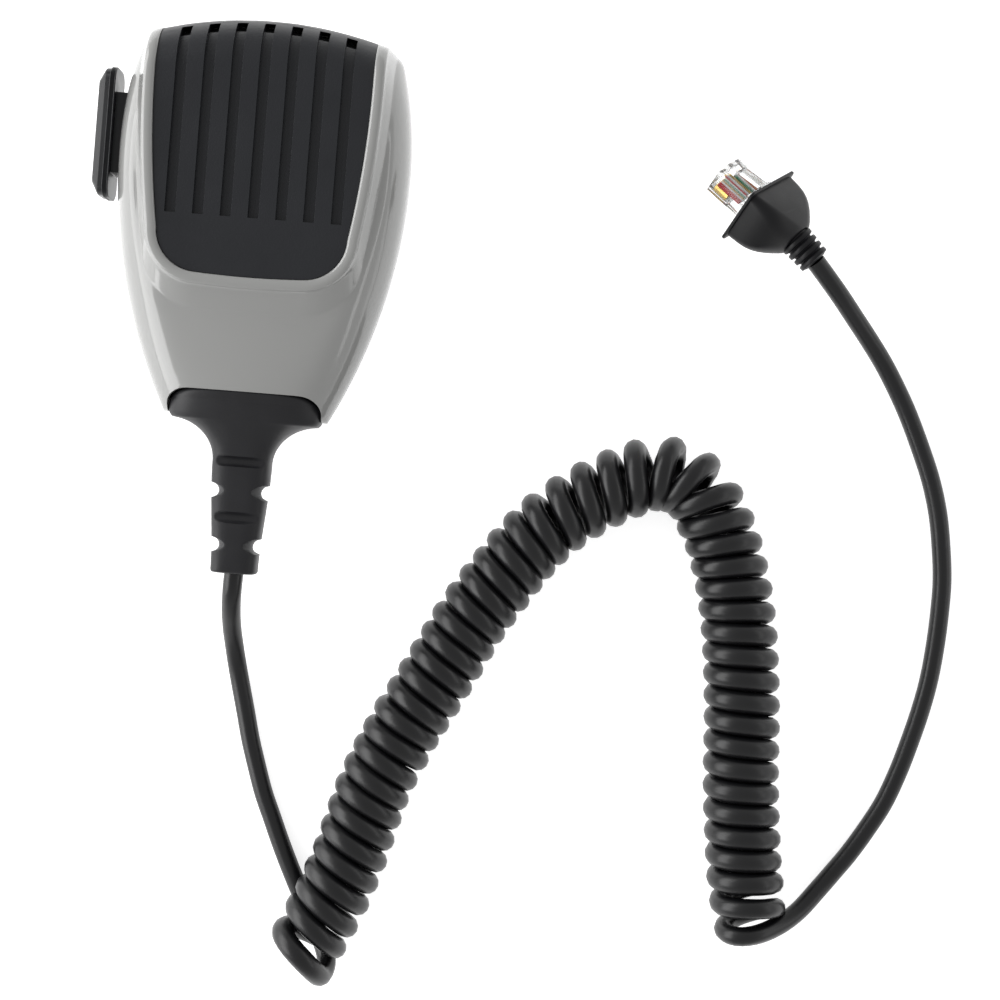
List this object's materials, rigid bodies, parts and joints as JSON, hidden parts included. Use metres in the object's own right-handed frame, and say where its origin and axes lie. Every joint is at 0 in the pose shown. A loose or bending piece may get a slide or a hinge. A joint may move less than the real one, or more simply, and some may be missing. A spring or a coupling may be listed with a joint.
{
  "type": "hand microphone",
  "caption": "Hand microphone with a slatted grille in a glossy grey housing, a talk bar on its side, a hang-up stud, a notched cable boot and a curly cord to a clear modular plug.",
  "frame": {"origin": "centre of the hang-up stud's outer face, on which the microphone lies", "axes": "+Y towards the top end with the grille, away from the cable boot; +Z from the stud's face to the grille; +X to the side away from the talk button"},
  "size_m": [0.2302, 0.2476, 0.0379],
  "materials": {
    "housing_grey": "gloss",
    "grille_black": "satin",
    "cloth": "woven, matt",
    "button_black": "satin",
    "spring_steel": "bright drawn",
    "switch_case": "matt",
    "plunger": "satin",
    "boot_rubber": "satin",
    "cord_black": "satin",
    "clamp_plastic": "matt",
    "screw_steel": "turned",
    "stud_steel": "polished",
    "capsule_can": "brushed",
    "holder_rubber": "matt",
    "board_green": "satin lacquer",
    "connector_cream": "gloss",
    "lead_sleeves": "gloss, in several colours",
    "plug_clear": "clear",
    "contact_gold": "gold plated, polished"
  },
  "bodies": {
    "microphone": {"front_shell": "housing_grey", "rear_shell": "housing_grey", "grille": "grille_black", "grille_cloth": "cloth", "ptt_springs": "spring_steel", "ptt_switch": "switch_case", "cable_boot": "boot_rubber", "cord_inner": "cord_black", "cable_clamp": "clamp_plastic", "clamp_screws": "screw_steel", "hanger_stud": "stud_steel", "stud_screw": "screw_steel", "stud_washer": "screw_steel", "housing_screws": "screw_steel", "mic_capsule": "capsule_can", "capsule_holder": "holder_rubber", "circuit_board": "board_green", "board_screws": "screw_steel", "board_connector": "connector_cream", "inner_leads": "lead_sleeves", "cord_lead": "cord_black", "cord_coil": "cord_black", "cord_tail": "cord_black", "plug_boot": "boot_rubber", "plug_body": "plug_clear", "plug_contacts": "contact_gold", "plug_wires": "lead_sleeves"},
    "talk_button": {"ptt_button": "button_black"},
    "switch_key": {"switch_plunger": "plunger"},
    "latch": {"plug_latch": "plug_clear"}
  },
  "joints": [
    {"name": "talk_press", "type": "slide", "parent": "microphone", "child": "talk_button", "axis": [1, 0, 0], "range_m": [0, 0.0012], "stiffness_N_per_m": 700, "springref_m": -0.002, "deforming": ["ptt_springs"]},
    {"name": "switch_press", "type": "slide", "parent": "microphone", "child": "switch_key", "axis": [1, 0, 0], "range_m": [0, 0.00096], "stiffness_N_per_m": 120, "springref_m": -0.001},
    {"name": "latch_press", "type": "hinge", "parent": "microphone", "child": "latch", "pos_m": [0.12214, 0.02185, 0.014], "axis": [0.5549, 0.4247, -0.7154], "range_deg": [0, 5.5], "stiffness_Nm_per_rad": 0.2}
  ],
  "couplings": [
    {"joint": "switch_press", "follows": "talk_press", "ratio": 0.8}
  ]
}
